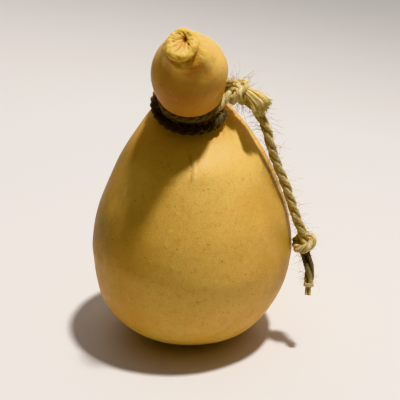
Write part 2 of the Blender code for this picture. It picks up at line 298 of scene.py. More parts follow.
knobbly = noise_over(straight, 0.0036, 5.0) + 0.5 * noise_over(straight, 0.0017, 8.0)
creases = np.zeros_like(rise)
for degrees, first, last, width, depth in NOSE_CREASES:
    wander = 0.30 * noise_over(straight, 0.0030, degrees)
    off = np.angle(np.exp(1j * (turn - math.radians(degrees) + wander))) * radius
    lie = band(across, first - 0.10, first + 0.08, last - 0.12, last + 0.08)
    creases += depth * hump(off, 0.0, width) * lie
creases *= on_nose * (radius < 1.02 * NOSE_RADIUS)
rise -= creases
rise += 0.00070 * knobbly * on_nose * ease(across, 0.20, 0.6)
pits = spots(((1.0, -44, 0.2427, 0.0046, 0.0009), (1.0, -171, 0.2427, 0.0062, 0.0007)))
rise -= 0.0008 * pits
rise += spots(((0.0009, -150, 0.2424, 0.0078, 0.0034), (-0.0004, -60, 0.2430, 0.0070, 0.0022)))

# the knot has pressed the right of the head in
rise -= 0.0032 * near(-31, 0.1985, 0.0250, 0.0130, 0.0080)

# a wavering blistered streak runs down the front, with a fine cut beside it
STREAK_TURN = math.radians(-88.2)
drip = 0.0022 * noise_over(straight, 0.011, 31.0)
aside = (turn - STREAK_TURN) * radius + drip
streak = hump(aside, 0.0, 0.0014) * band(height, 0.131, 0.136, 0.150, 0.156)
bubbles = 0.5 + 0.5 * noise_over(straight, 0.0022, 9.0)
rise += 0.00080 * streak * bubbles
cut = hump(aside, -0.0023, 0.0007) * band(height, 0.130, 0.134, 0.151, 0.155)
rise -= 0.00055 * cut

# a dry flake on the left, and small blisters: turn, height, radius
FLAKE = (-142.5, 0.1195, 0.0563, 0.0012, 0.0042)
BLISTERS = (
    (-101.4, 0.0811, 0.0684), (-103.6, 0.1031, 0.0628), (-100, 0.1141, 0.0584),
    (-104.7, 0.0945, 0.0659), (-97.2, 0.1077, 0.0609), (-113, 0.0824, 0.0680),
    (-107, 0.0743, 0.0696), (-77, 0.0842, 0.0678), (-59.6, 0.0807, 0.0683),
    (-99, 0.0795, 0.0687), (-127, 0.0504, 0.0686), (-139, 0.1250, 0.0535),
)
BLISTER_WIDTH = 0.0008
BLISTER_TALLNESS = 0.0010
BLISTER_RISE = 0.00060
flake = near(*FLAKE)
blisters = sum(near(*spot, BLISTER_WIDTH, BLISTER_TALLNESS) for spot in BLISTERS)
rise += BLISTER_RISE * (flake + blisters)

# the hole is a narrow slit, a little above the middle of the nose and to its right
pinch = 1.0 - ease(across, 0.18, 0.75)
risen = np.maximum(radius - slopes[:, 1:] * rise, 0.00002)
drawn_in = risen * (1.0 - 0.35 * pinch)
off_x = drawn_in * np.cos(turn) * (1.0 - 0.30 * pinch) + 0.0010 * pinch * on_nose
off_y = drawn_in * np.sin(turn) * (1.0 + 0.15 * pinch) + 0.0013 * pinch * on_nose
moved = np.where(on_nose > 0, np.hypot(off_x, off_y), risen)
moved_turn = np.where(on_nose > 0, np.arctan2(off_y, off_x), turn)
surface = bend(moved_turn, moved, height + slopes[:, :1] * rise)


def skin(name, rings, marks):
    """Closed mesh through rings of points, with each mark stored on its points."""
    count, sides = rings.shape[:2]
    around = np.arange(sides)
    onward = (around + 1) % sides
    faces = []
    for index in range(count - 1):
        here, there = index * sides, (index + 1) * sides
        faces.append(np.stack([here + around, there + around, there + onward, here + onward], 1))
    quads = np.vstack(faces).tolist()
    first, last = count * sides, count * sides + 1
    edge = (count - 1) * sides
    start = np.stack([np.full(sides, first), around, onward], 1).tolist()
    stop = np.stack([np.full(sides, last), edge + onward, edge + around], 1).tolist()
    points = np.vstack([rings.reshape(-1, 3), rings[0].mean(axis=0), rings[-1].mean(axis=0)])
    mesh = bpy.data.meshes.new(name)
    mesh.from_pydata(points.tolist(), [], quads + start + stop)
    mesh.shade_smooth()
    for mark, values in marks.items():
        ends = np.stack([values[0].mean(axis=0), values[-1].mean(axis=0)])
        if values.ndim == 3:
            stored = mesh.attributes.new(mark, "FLOAT_VECTOR", "POINT")
            stored.data.foreach_set("vector", np.vstack([values.reshape(-1, 3), ends]).ravel())
        else:
            stored = mesh.attributes.new(mark, "FLOAT", "POINT")
            stored.data.foreach_set("value", np.concatenate([values.ravel(), ends]))
    piece = bpy.data.objects.new(name, mesh)
    bpy.context.scene.collection.objects.link(piece)
    return piece


# reddish brown in the hole, the pits, the creases, the cut and the throat's folds: partly the
# rind's own colour, partly painted shade in these hollows, under the nose's rim, along the streak's
# right edge, beside the flake and in the throat
FOLD_AND_SHADE_SPOTS = (
    (0.7, -82, 0.2305, 0.0150, 0.0050, 0.0060), (0.6, -119, 0.2355, 0.0110, 0.0032, 0.004),
    (0.5, -67, 0.2331, 0.0133, 0.0040, 0.0040), (0.5, -140.8, 0.1195, 0.0563, 0.0009, 0.0042),
)
hole = np.maximum(on_nose * (1.0 - ease(across, 0.12, 0.46)), 0.65 * pits)
folds_and_painted_shade = np.clip(creases / 0.0009, 0, 0.6) + 0.50 * throat * valleys + 0.55 * cut
folds_and_painted_shade += 0.40 * on_nose * (1 - ease(across, 0.25, 0.80))
folds_and_painted_shade += 0.55 * hump(height, NOSE_END - 0.0055, 0.0011) * (across > 0.85)
folds_and_painted_shade += 0.25 * hump(aside, 0.0026, 0.0008) * band(height, 0.137, 0.141, 0.150, 0.156)
folds_and_painted_shade += spots(FOLD_AND_SHADE_SPOTS)

# painted light: a paler gold on the front, on the crown's lit right side and as a broad painted
# highlight on the front right shoulder, and two spots that lighten cast shadow, from the head on
# the left and from the knot and tuft on the right; the nose gets the same gold
PAINTED_LIGHT_SPOTS = ((1.3, -139, 0.124, 0.0540, 0.014, 0.020), (1.0, -25, 0.148, 0.0400, 0.014, 0.020))
painted_front_light = hump(turn, math.radians(-86), math.radians(48))
gold_and_painted_light = 0.9 * painted_front_light * band(height, 0.020, 0.060, 0.152, 0.168) + on_nose
gold_and_painted_light += ease(height, 0.204, 0.226) * (0.6 + 0.4 * np.cos(turn - 0.2))
gold_and_painted_light += ease(height, 0.110, 0.150) * hump(turn, math.radians(-55), 0.8) * on_body
gold_and_painted_light += spots(PAINTED_LIGHT_SPOTS)

# browner on the front of the head: painted shade under the nose; olive patches, most of them
# painted shade on both flanks and on the left shoulder; hazy with bloom towards the base
OLIVE_AND_SHADE_SPOTS = (
    (1.0, -150, 0.098, 0.064, 0.030, 0.024), (0.5, -24, 0.088, 0.066, 0.026, 0.050),
    (1.2, -170, 0.140, 0.0460, 0.014, 0.018), (0.5, 60, 0.105, 0.061, 0.030, 0.030),
)
painted_head_shade = hump(turn, math.radians(-95), math.radians(62)) * band(height, 0.184, 0.190, 0.212, 0.230)
flanks = hump(np.abs(turn), 3.0, 0.60) + hump(turn, -0.15, 0.50)
olive_and_painted_shade = 0.9 * flanks * band(height, 0.02, 0.06, 0.120, 0.160) + spots(OLIVE_AND_SHADE_SPOTS)
haze = (1 - ease(height, 0.012, 0.055)) * (0.6 + 0.4 * noise_over(straight, 0.018, 21.0))
haze += 0.9 * near(-96, 0.2335, 0.0118, 0.0052, 0.0040)
dry = np.clip(1.5 * streak * bubbles + flake + 1.2 * blisters, 0, 1)

cheese = skin("cheese_rind", surface, {
    "hole": hole, "lemon": on_nose, "folds_and_painted_shade": folds_and_painted_shade, "gold_and_painted_light": gold_and_painted_light, "painted_head_shade": painted_head_shade,
    "haze": haze, "olive_and_painted_shade": olive_and_painted_shade, "dry": dry,
})


def linear(colour):
    """Linear red, green, blue and alpha of an sRGB hex colour."""
    values = [int(colour[place:place + 2], 16) / 255 for place in (1, 3, 5)]
    return (*(v / 12.92 if v <= 0.04045 else ((v + 0.055) / 1.055) ** 2.4 for v in values), 1.0)


def add(tree, kind, inputs=None, output=0, **settings):
    """Adds a shader node with its settings, input values and links, and gives its output."""
    made = tree.nodes.new("ShaderNode" + kind)
    for name, value in settings.items():
        setattr(made, name, value)
    for name, value in (inputs or {}).items():
        if isinstance(value, bpy.types.NodeSocket):
            tree.links.new(value, made.inputs[name])
        else:
            made.inputs[name].default_value = value
    return made.outputs[output]


# Cheese rind, dried by hanging and rubbed with oil: a dense, slightly see-through wax-like skin.
# It glows a little where light gets in at a shadow's edge, and has a soft satin sheen.
rind = bpy.data.materials.new("aged_cheese_rind")
rind.use_nodes = True
tree = rind.node_tree
shader = tree.nodes["Principled BSDF"]
place = add(tree, "TexCoord", output="Object")

# colour, patch size and height against width, cloud values between which it comes in, its
# least and most share, and the mark on the cheese that it belongs to
RIND_COLOURS = (
    ("#d99b40", 0.034, 1.0, 0.40, 0.66, 0.00, 0.85, None),
    # painted light: a paler gold on the front, the crown and the shoulder
    ("#f9d077", 0.040, 1.0, 0.25, 0.60, 0.60, 1.00, "gold_and_painted_light"),
    # painted shade: browner on the front of the head, under the nose
    ("#bb7c46", 0.030, 1.0, 0.25, 0.65, 0.55, 0.95, "painted_head_shade"),
    # olive patches, partly painted shade on the flanks and the left shoulder
    ("#a3843e", 0.016, 1.0, 0.30, 0.70, 0.30, 0.60, "olive_and_painted_shade"),
    ("#dfc578", 0.009, 1.0, 0.35, 0.70, 0.35, 0.85, "haze"),
    ("#c8853a", 0.0042, 1.0, 0.52, 0.80, 0.00, 0.32, None),
    ("#f3d893", 0.0030, 1.0, 0.60, 0.85, 0.00, 0.40, None),
    ("#b07c34", 0.0011, 5.0, 0.54, 0.80, 0.00, 0.10, None),
    ("#c48a38", 0.0007, 1.0, 0.50, 0.70, 0.00, 0.45, None),
    ("#fbe09a", 0.0009, 1.0, 0.60, 0.75, 0.00, 0.35, None),
    ("#f7dd95", 0.0014, 1.0, 0.35, 0.60, 0.30, 0.85, "dry"),
    ("#e9c863", 0.0030, 1.0, 0.25, 0.60, 0.20, 0.65, "lemon"),
    # partly painted shade in the folds and hollows
    ("#b5682a", 0.0020, 1.0, 0.30, 0.70, 0.70, 1.00, "folds_and_painted_shade"),
    # dark red in the hole and the pits, partly painted shade
    ("#843512", 0.0020, 1.0, 0.30, 0.70, 0.80, 1.00, "hole"),
)
colour = linear("#e8b761")
for over, size, tall, low, high, least, most, mark in RIND_COLOURS:
    stretched = add(tree, "Mapping", {"Vector": place, "Scale": (1.0, 1.0, 1.0 / tall)})
    cloud = add(tree, "TexNoise", {"Vector": stretched, "Scale": 1.0 / size, "Detail": 3.0})
    share = add(tree, "MapRange", {"Value": cloud, "From Min": low, "From Max": high,
                                   "To Min": least, "To Max": most})
    if mark:
        marked = add(tree, "Attribute", output="Fac", attribute_name=mark)
        share = add(tree, "Math", {0: share, 1: marked}, operation="MULTIPLY", use_clamp=True)
    colour = add(tree, "Mix", {0: share, 6: colour, 7: linear(over)}, 2, data_type="RGBA")

# pores under a millimetre across, drawn a little larger and sparser than they are
PORE_APART = 0.0046
pores = tree.nodes.new("ShaderNodeTexVoronoi")
pores.inputs["Scale"].default_value = 1.0 / PORE_APART
tree.links.new(place, pores.inputs["Vector"])
pore = add(tree, "MapRange", {"Value": pores.outputs["Distance"], "From Min": 0.070,
                              "From Max": 0.110, "To Min": 1.0, "To Max": 0.0})
chosen = add(tree, "Math", {0: pores.outputs["Color"], 1: 0.62}, operation="GREATER_THAN")
pore = add(tree, "Math", {0: pore, 1: chosen}, operation="MULTIPLY")
dark = add(tree, "Math", {0: pore, 1: 0.75}, operation="MULTIPLY")
colour = add(tree, "Mix", {0: dark, 6: colour, 7: linear("#7a5220")}, 2, data_type="RGBA")
tree.links.new(colour, shader.inputs["Base Color"])

GLOSS_PATCH = 0.006
WRINKLE_WIDTH = 0.0011
WRINKLE_DEPTH = 0.0006
patches = add(tree, "TexNoise", {"Vector": place, "Scale": 1.0 / GLOSS_PATCH, "Detail": 3.0})
gloss = add(tree, "MapRange", {"Value": patches, "From Min": 0.3, "From Max": 0.7,
                               "To Min": 0.44, "To Max": 0.58})
tree.links.new(gloss, shader.inputs["Roughness"])
wrinkles = add(tree, "TexNoise", {"Vector": place, "Scale": 1.0 / WRINKLE_WIDTH, "Detail": 4.0})
relief = add(tree, "Math", {0: wrinkles, 1: pore}, operation="SUBTRACT")
bumps = add(tree, "Bump", {"Strength": 0.32, "Distance": WRINKLE_DEPTH, "Height": relief})
tree.links.new(bumps, shader.inputs["Normal"])
shader.inputs["IOR"].default_value = 1.45
shader.inputs["Specular IOR Level"].default_value = 0.30
shader.inputs["Subsurface Weight"].default_value = 0.35
shader.inputs["Subsurface Radius"].default_value = (1.0, 0.55, 0.22)
shader.inputs["Subsurface Scale"].default_value = 0.0036

cheese.data.materials.append(rind)
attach(cheese, "root")
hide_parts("cheese")


# -------------------- neck turns
# The cheese hung from one length of three-strand sisal rope, 6.5 mm thick and laid left-handed.
# Two turns of it bite into the neck under the head: the upper lies in the groove, the lower
# beside it on the shoulder.  Both are darker over the front: the upper partly stained and partly
# with painted shade under the head, the lower near black over most of its length.

ROPE_LAY = 0.0225
NECK_LAY = 0.0165
ROPE_SPACING = 0.00045
STRAND_SIDES = 30
# the side of a rope that its first strand starts on
FIRST_ACROSS = (0.3, 0.9, 0.2)
# how the fibres run, and the width and relief of their locks, single fibres and swellings
FIBRE_TWIST = 0.0034
FIBRE_ROUND = 0.0016
LOCK_WIDTH = 0.00085
LOCK_RELIEF = 0.095
FIBRE_WIDTH = 0.00038
FIBRE_RELIEF = 0.095
SWELL_LENGTH = 0.0011
SWELL_RELIEF = 0.14
UPPER_TURN_RADIUS = NECK_RADIUS + ROPE_RADIUS + 0.0009
LOWER_TURN_AT = NECK_AT - 0.0082
LOWER_TURN_RADIUS = NECK_RADIUS + ROPE_RADIUS + 0.00605
UPPER_TURN_LEAVES = np.radians((39, 58))
LOWER_TURN_LEAVES = np.radians((50, 62))
UPPER_TURN_RUN = 0.0065
BACK_RUN = 0.0065
# how dark each turn is along it: the upper partly stain, partly painted shade under the head; the
# lower near black over most of it
UPPER_TURN_STAIN_AND_SHADE = ((0, 0), (0.10, 0.0), (0.16, 0.78), (0.45, 0.82), (0.7, 0.6), (1, 0))
LOWER_TURN_DARKNESS = ((0, 0.93), (0.04, 0.88), (0.12, 1.0), (0.40, 1.0), (0.6, 0.6), (1, 0))
# height, distance from the neck's middle, and turn of the lower turn's cut end
LOWER_TURN_END = ((0.1751, 0.0231, -24), (0.1748, 0.0235, -33), (0.1745, 0.0239, -42))
KNOT_CENTRE = np.array([0.0315, -0.0082, 0.1802])
KNOT_AXIS = np.array([1.0, 0.0, -0.27]) / math.hypot(1.0, 0.27)
KNOT_FRONT = np.array([0.0, -1.0, 0.0])
KNOT_UP = np.cross(KNOT_FRONT, KNOT_AXIS)


def knot_place(along, front, up):
    """Point of the neck knot: along its axis, towards -Y, and upwards."""
    return KNOT_CENTRE + along * KNOT_AXIS + front * KNOT_FRONT + up * KNOT_UP


def off_the_ring(height, distance, turn, run):
    """Point on the ring's tangent at a turn, the given run ahead of where it touches."""
    return bend(turn + math.atan2(run, distance), math.hypot(distance, run), height)


def neck_turn(height, distance, leaves, front_end, back_end):
    """Route of one turn round the neck, by the front and back to the knot."""
    start, stop = -leaves[0], -2 * math.pi + leaves[1]
    ring = [bend(turn, distance, height) for turn in np.linspace(start, stop, 25)]
    return front_end + ring + [off_the_ring(height, distance, stop, -BACK_RUN)] + back_end


def frames_along(line, start_across):
    """Directions along the line, across it and over it, carried along without twisting."""
    along = np.gradient(line, axis=0)
    along /= np.linalg.norm(along, axis=1)[:, None]
    across = np.empty_like(line)
    carried = np.asarray(start_across, float)
    for index, direction in enumerate(along):
        carried = carried - carried.dot(direction) * direction
        carried = carried / np.linalg.norm(carried)
        across[index] = carried
    return along, across, np.cross(along, across)


def joined(name, parts):
    """The parts as one piece."""
    bpy.ops.object.select_all(action="DESELECT")
    for part in parts:
        part.select_set(True)
    bpy.context.view_layer.objects.active = parts[0]
    bpy.ops.object.join()
    parts[0].name = name
    parts[0].data.name = name
    return parts[0]


def lay_rope(name, route, radius, start=0.0, lay=ROPE_LAY, open_by=1.0, stains_and_shade=((0, 0), (1, 0))):
    """Three strands laid round each other along a route, their fibres raised a little.

    Lay is the length of one full twist, and open_by spreads the strands apart.  The stain and
    shade pairs give the share of the length and how dark the rope is there: stain, and painted
    shade where the rope lies in shade."""
    line = evenly(through(route), ROPE_SPACING)
    run = np.linspace(0.0, 1.0, len(line))
    length = np.linalg.norm(np.diff(line, axis=0), axis=1).sum()
    _, out, over = frames_along(line, FIRST_ACROSS)
    loose = noise_over(line, 0.012, 3.0 + start)
    turned = -2.0 * math.pi * (run * length + 0.0010 * loose) / lay
    around = -np.linspace(0.0, 2 * math.pi, STRAND_SIDES, endpoint=False)
    stain_and_shade = np.interp(run, *zip(*stains_and_shade))[:, None] * np.ones(STRAND_SIDES)
    strands = []
    for strand in range(3):
        angle = start + turned + 2 * math.pi * strand / 3
        away = np.cos(angle)[:, None] * out + np.sin(angle)[:, None] * over
        apart = 0.5 * radius * open_by * (1.0 + 0.10 * noise_over(line, 0.006, 9.0 + strand))
        middle = line + apart[:, None] * away
        forward = np.gradient(middle, axis=0)
        forward /= np.linalg.norm(forward, axis=1)[:, None]
        away = away - (away * forward).sum(axis=1)[:, None] * forward
        away /= np.linalg.norm(away, axis=1)[:, None]
        side = np.cross(forward, away)
        fibre_turn = around[None, :] + (run * length / FIBRE_TWIST)[:, None] + 2.1 * strand
        far = run * length * 0.16 + 0.05 * strand + 0.3 * start
        fibre = np.stack([FIBRE_ROUND * np.cos(fibre_turn), FIBRE_ROUND * np.sin(fibre_turn),
                          np.repeat(far[:, None], STRAND_SIDES, axis=1)], axis=-1)
        locks = 1.0 - 2.6 * np.abs(noise_over(fibre, LOCK_WIDTH, 13.0))
        fine = noise_over(fibre, FIBRE_WIDTH, 4.0)
        swell = noise_over(fibre * np.array([0, 0, 1.0]), SWELL_LENGTH, 2.0)
        thick = 0.5 * radius * (0.985 + LOCK_RELIEF * locks + FIBRE_RELIEF * fine
                                + SWELL_RELIEF * swell)
        points = (middle[:, None, :] + (thick * np.cos(around))[..., None] * away[:, None, :]
                  + (1.08 * thick * np.sin(around))[..., None] * side[:, None, :])
        # the inner side of each strand, which the material darkens: partly dust, partly painted
        # shade
        groove = np.repeat((0.5 - 0.5 * np.cos(around))[None, :], len(line), axis=0)
        strands.append(skin(f"{name}_strand", points, {
            "fibre": fibre, "groove": groove, "stain_and_shade": stain_and_shade,
        }))
    return joined(name, strands)


# Sisal, a stiff straw-coloured leaf fibre: dry, matt to faintly silky, each fibre a different
# shade.  The grooves between strands are darker, partly with dust and partly with painted shade,
# and it is darker where it bites, partly with oil stain and partly with painted shade.
sisal = bpy.data.materials.new("sisal_rope_fibre")
sisal.use_nodes = True
tree = sisal.node_tree
shader = tree.nodes["Principled BSDF"]
fibres = add(tree, "Attribute", output="Vector", attribute_name="fibre")

# colour, width of the fibres that have it, cloud values between which it comes in, most share.
# A fibre is about 0.2 mm thick, and is drawn two or three times as wide so that it shows.
SISAL_COLOURS = (
    ("#b0904e", 0.00060, 0.44, 0.64, 1.0),
    ("#fbeebf", 0.00034, 0.50, 0.66, 0.9),
    ("#6f5429", 0.00045, 0.58, 0.72, 0.8),
    ("#b39a5c", 0.00300, 0.45, 0.70, 0.4),
)
# colour, the mark on the rope that it belongs to, where the mark begins to tell, most share
MARK_COLOURS = (
    # dust and painted shade in the grooves between strands
    ("#46301a", "groove", 0.22, 0.95),
    ("#ffebad", "pale", 0.0, 0.9),
    ("#6b4d22", "dull", 0.0, 0.9),
    # stain, and painted shade where the rope lies in shade
    ("#22120d", "stain_and_shade", 0.0, 0.99),
)
colour = linear("#ecd492")
for over, size, low, high, most in SISAL_COLOURS:
    streaks = add(tree, "TexNoise", {"Vector": fibres, "Scale": 1.0 / size, "Detail": 2.0})
    share = add(tree, "MapRange", {"Value": streaks, "From Min": low, "From Max": high,
                                   "To Max": most})
    colour = add(tree, "Mix", {0: share, 6: colour, 7: linear(over)}, 2, data_type="RGBA")
for over, mark, start, most in MARK_COLOURS:
    marked = add(tree, "Attribute", output="Fac", attribute_name=mark)
    share = add(tree, "MapRange", {"Value": marked, "From Min": start, "To Max": most})
    colour = add(tree, "Mix", {0: share, 6: colour, 7: linear(over)}, 2, data_type="RGBA")
tree.links.new(colour, shader.inputs["Base Color"])
SINGLE_FIBRE = 0.00024
FIBRE_DEPTH = 0.00035
threads = add(tree, "TexNoise", {"Vector": fibres, "Scale": 1.0 / SINGLE_FIBRE, "Detail": 2.0})
bumps = add(tree, "Bump", {"Strength": 0.9, "Distance": FIBRE_DEPTH, "Height": threads})
tree.links.new(bumps, shader.inputs["Normal"])
shader.inputs["Roughness"].default_value = 0.62
shader.inputs["Subsurface Weight"].default_value = 0.20
shader.inputs["Subsurface Radius"].default_value = (1.0, 0.80, 0.45)
shader.inputs["Subsurface Scale"].default_value = 0.0016
shader.inputs["IOR"].default_value = 1.5
shader.inputs["Sheen Weight"].default_value = 0.20
shader.inputs["Sheen Roughness"].default_value = 0.5
shader.inputs["Sheen Tint"].default_value = linear("#f2dca4")

# The same fibre much paler, for the knot's strands and the tuft: fresh fibre at the cut is paler,
# and the rest is painted light for light that shines through the thin fibres.
sisal_with_painted_light = sisal.copy()
sisal_with_painted_light.name = "sisal_fibre_with_painted_light"
tree = sisal_with_painted_light.node_tree
shader = tree.nodes["Principled BSDF"]
paler = add(tree, "Mix", {0: 0.55, 6: shader.inputs["Base Color"].links[0].from_socket,
                          7: linear("#ffeca8")}, 2, data_type="RGBA")
tree.links.new(paler, shader.inputs["Base Color"])
shader.inputs["Sheen Weight"].default_value = 0.60
shader.inputs["Subsurface Weight"].default_value = 0.0

upper_route = neck_turn(
    NECK_AT, UPPER_TURN_RADIUS, UPPER_TURN_LEAVES,
    [knot_place(-0.0035, 0.0040, -0.0026), knot_place(-0.0076, 0.0055, -0.0030),
     off_the_ring(NECK_AT, UPPER_TURN_RADIUS, -UPPER_TURN_LEAVES[0], UPPER_TURN_RUN)],
    [knot_place(-0.0081, -0.0014, 0.0042), knot_place(-0.0020, -0.0014, 0.0036)],
)
lower_route = neck_turn(
    LOWER_TURN_AT, LOWER_TURN_RADIUS, LOWER_TURN_LEAVES,
    [bend(math.radians(angle), distance, at) for at, distance, angle in LOWER_TURN_END],
    [knot_place(-0.0081, -0.0056, -0.0019), knot_place(-0.0020, -0.0040, -0.0016)],
)
upper_turn = lay_rope("neck_rope_upper", upper_route, ROPE_RADIUS, lay=NECK_LAY,
                      stains_and_shade=UPPER_TURN_STAIN_AND_SHADE)
lower_turn = lay_rope("neck_rope_lower", lower_route, ROPE_RADIUS, 1.3, lay=NECK_LAY,
                      stains_and_shade=LOWER_TURN_DARKNESS)
for piece, node in ((upper_turn, "neck_turn_upper"), (lower_turn, "neck_turn_lower")):
    piece.data.materials.append(sisal)
    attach(piece, "root")
    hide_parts(node)


# -------------------- neck knot
# The rope's two ends are tied beside the neck and drawn tight.  One strand comes from behind the
# neck and turns down over the front, others cross it at the top and slant down on the right.

# name, radius and route of each strand
KNOT_STRANDS = (
    ("knot_wrap_left", 0.0024, (
        (0.0202, -0.0060, 0.1753), (0.0227, -0.0085, 0.1781), (0.0252, -0.0105, 0.1809),
        (0.0275, -0.0116, 0.1831), (0.0293, -0.0132, 0.1829), (0.0293, -0.0152, 0.1808),
        (0.0281, -0.0154, 0.1780), (0.0268, -0.0128, 0.1754), (0.0270, -0.0085, 0.1749),
        (0.0286, -0.0044, 0.1769), (0.0302, -0.0030, 0.1810), (0.0311, -0.0042, 0.1844))),
    ("knot_wrap_right", 0.0023, (
        (0.0309, -0.0032, 0.1817), (0.0313, -0.0042, 0.1851), (0.0326, -0.0062, 0.1868),
        (0.0346, -0.0086, 0.1869), (0.0354, -0.0110, 0.1855), (0.0337, -0.0132, 0.1841),
        (0.0317, -0.0152, 0.1824), (0.0310, -0.0158, 0.1798), (0.0315, -0.0136, 0.1766),
        (0.0328, -0.0094, 0.1743), (0.0342, -0.0048, 0.1751))),
    ("knot_wrap_last", 0.0021, (
        (0.0361, -0.0040, 0.1830), (0.0368, -0.0072, 0.1825), (0.0362, -0.0102, 0.1815),
        (0.0347, -0.0128, 0.1799), (0.0333, -0.0134, 0.1777), (0.0331, -0.0108, 0.1748),
        (0.0343, -0.0066, 0.1734))),
    ("knot_over", 0.0026, (
        (0.0259, -0.0056, 0.1864), (0.0276, -0.0080, 0.1864), (0.0295, -0.0102, 0.1858),
        (0.0309, -0.0120, 0.1842), (0.0321, -0.0122, 0.1819))),
    ("knot_tail_root", 0.0029, (
        (0.0322, -0.0088, 0.1788), (0.0342, -0.0072, 0.1757), (0.0366, -0.0060, 0.1735),
        (0.0385, -0.0061, 0.1724))),
    ("knot_heart", 0.0038, (
        (0.0296, -0.0084, 0.1800), (0.0318, -0.0086, 0.1800), (0.0342, -0.0088, 0.1795),
        (0.0368, -0.0094, 0.1788))),
)
KNOT_LAY = 0.020

for number, (name, radius, route) in enumerate(KNOT_STRANDS):
    strand = lay_rope(name, route, radius, 0.4 + 0.7 * number, lay=KNOT_LAY)
    # all but the tail's root take the much paler fibre: painted light on the knot
    strand.data.materials.append(sisal if name == "knot_tail_root" else sisal_with_painted_light)
    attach(strand, "root")
    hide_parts("neck_knot")


# -------------------- frayed tuft
# The rope's short end was cut beside the knot and has sprung open into a brush of loose fibres,
# in locks that keep some of the strands' curl.  Fresh fibre shows at the cut, so it is paler, and
# most locks are made paler still as painted light for light that shines through the thin fibres.
# Each fibre made here stands for a few real ones.

TUFT_END = np.array([0.0464, -0.0200, 0.1732])
TUFT_ROOT_RADIUS = 0.0034
TUFT_END_RADIUS = 0.0078
TUFT_LOCKS = 72
TUFT_BOW = 0.0010
LOCK_FIBRES = 11
LOCK_SPREAD = 0.085
LOCK_ENDS = (0.96, 1.08)
TURN_TO_NEXT_LOCK = 2.4
FIBRE_RADIUS = 0.00020
FIBRE_MARKS = 8


def hairs(name, paths, root_radius, tip_radius, sides, tones):
    """Thin round fibres along the paths, tapering, as one piece.

    A tone runs from about -1, dull, to 1, pale."""
    points, faces, fibre, tone_of = [], [], [], []
    for number, (path, tone) in enumerate(zip(paths, tones)):
        path = np.asarray(path, float)
        _, across, over = frames_along(path, (0.31, 0.22, 0.92))
        base = len(points)
        for index, middle in enumerate(path):
            share = index / (len(path) - 1)
            thick = root_radius + (tip_radius - root_radius) * share
            for step in range(sides):
                angle = 2 * math.pi * step / sides
                points.append(middle + thick * (math.cos(angle) * across[index]
                                                + math.sin(angle) * over[index]))
                fibre.append((0.0021 * number, 0.0013 * (number % 7), 0.002 * share))
                tone_of.append(tone)
        for index in range(len(path) - 1):
            here = base + index * sides
            for step in range(sides):
                onward = (step + 1) % sides
                faces.append((here + step, here + onward, here + sides + onward,
                              here + sides + step))
        faces.append(tuple(base + step for step in reversed(range(sides))))
        faces.append(tuple(base + (len(path) - 1) * sides + step for step in range(sides)))
    mesh = bpy.data.meshes.new(name)
    mesh.from_pydata([tuple(point) for point in points], [], faces)
    mesh.shade_smooth()
    stored = mesh.attributes.new("fibre", "FLOAT_VECTOR", "POINT")
    stored.data.foreach_set("vector", np.array(fibre, np.float32).ravel())
    for mark, sign in (("pale", 1.0), ("dull", -1.0)):
        stored = mesh.attributes.new(mark, "FLOAT", "POINT")
        stored.data.foreach_set("value", np.maximum(0.0, sign * np.array(tone_of, np.float32)))
    piece = bpy.data.objects.new(name, mesh)
    bpy.context.scene.collection.objects.link(piece)
    return piece


chance = random.Random(41)
tuft_start = knot_place(0.0036, 0.0018, 0.0024)
tuft_way = (TUFT_END - tuft_start) / np.linalg.norm(TUFT_END - tuft_start)
tuft_across = np.cross(tuft_way, (0.0, 0.0, 1.0))
tuft_across /= np.linalg.norm(tuft_across)
tuft_over = np.cross(tuft_across, tuft_way)


def in_tuft(share, across, over):
    """Point of the tuft: how far along it, and its place across as a share of its radius."""
    spread = TUFT_ROOT_RADIUS + (TUFT_END_RADIUS - TUFT_ROOT_RADIUS) * share**1.2
    middle = tuft_start + (TUFT_END - tuft_start) * share
    middle = middle + TUFT_BOW * math.sin(math.pi * share) * tuft_over
    return middle + spread * (across * tuft_across + over * tuft_over)


tuft_paths, tuft_tones = [], []
for lock in range(TUFT_LOCKS):
    ring = 0.93 * math.sqrt((lock + 0.5) / TUFT_LOCKS)
    angle = TURN_TO_NEXT_LOCK * lock
    lock_across, lock_over = ring * math.cos(angle), ring * math.sin(angle)
    lock_end = LOCK_ENDS[0] + (LOCK_ENDS[1] - LOCK_ENDS[0]) * chance.random()
    # most locks lean pale: partly fresh fibre, partly painted light
    lock_tone = chance.uniform(0.55, 1.0)
    curl_across, curl_over = chance.gauss(0, 0.05), chance.gauss(0, 0.05)
    for strand in range(LOCK_FIBRES):
        off_across, off_over = chance.gauss(0, LOCK_SPREAD), chance.gauss(0, LOCK_SPREAD)
        end = lock_end + chance.gauss(0, 0.035)
        wave, phase = 0.045 * chance.random(), 6.3 * chance.random()
        path = []
        for step in range(FIBRE_MARKS):
            share = end * step / (FIBRE_MARKS - 1)
            sway = wave * math.sin(phase + 7 * share)
            path.append(in_tuft(share, lock_across + off_across + curl_across * share**2 + sway,
                                lock_over + off_over + curl_over * share**2 + sway))
        tuft_paths.append(path)
        tuft_tones.append(lock_tone * chance.choice((1.0, 1.0, 1.0, 0.5, -1.2)))
tuft = hairs("tuft_fibres", tuft_paths, FIBRE_RADIUS, 0.7 * FIBRE_RADIUS, 5, tuft_tones)
tuft.data.materials.append(sisal_with_painted_light)
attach(tuft, "root")
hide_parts("frayed_tuft")


# -------------------- free tail
# The rope's long end comes out low on the knot, behind the tuft, and hangs down beside the
# cheese, a few millimetres off its shoulder.  It is 105 mm long as far as its own knot.

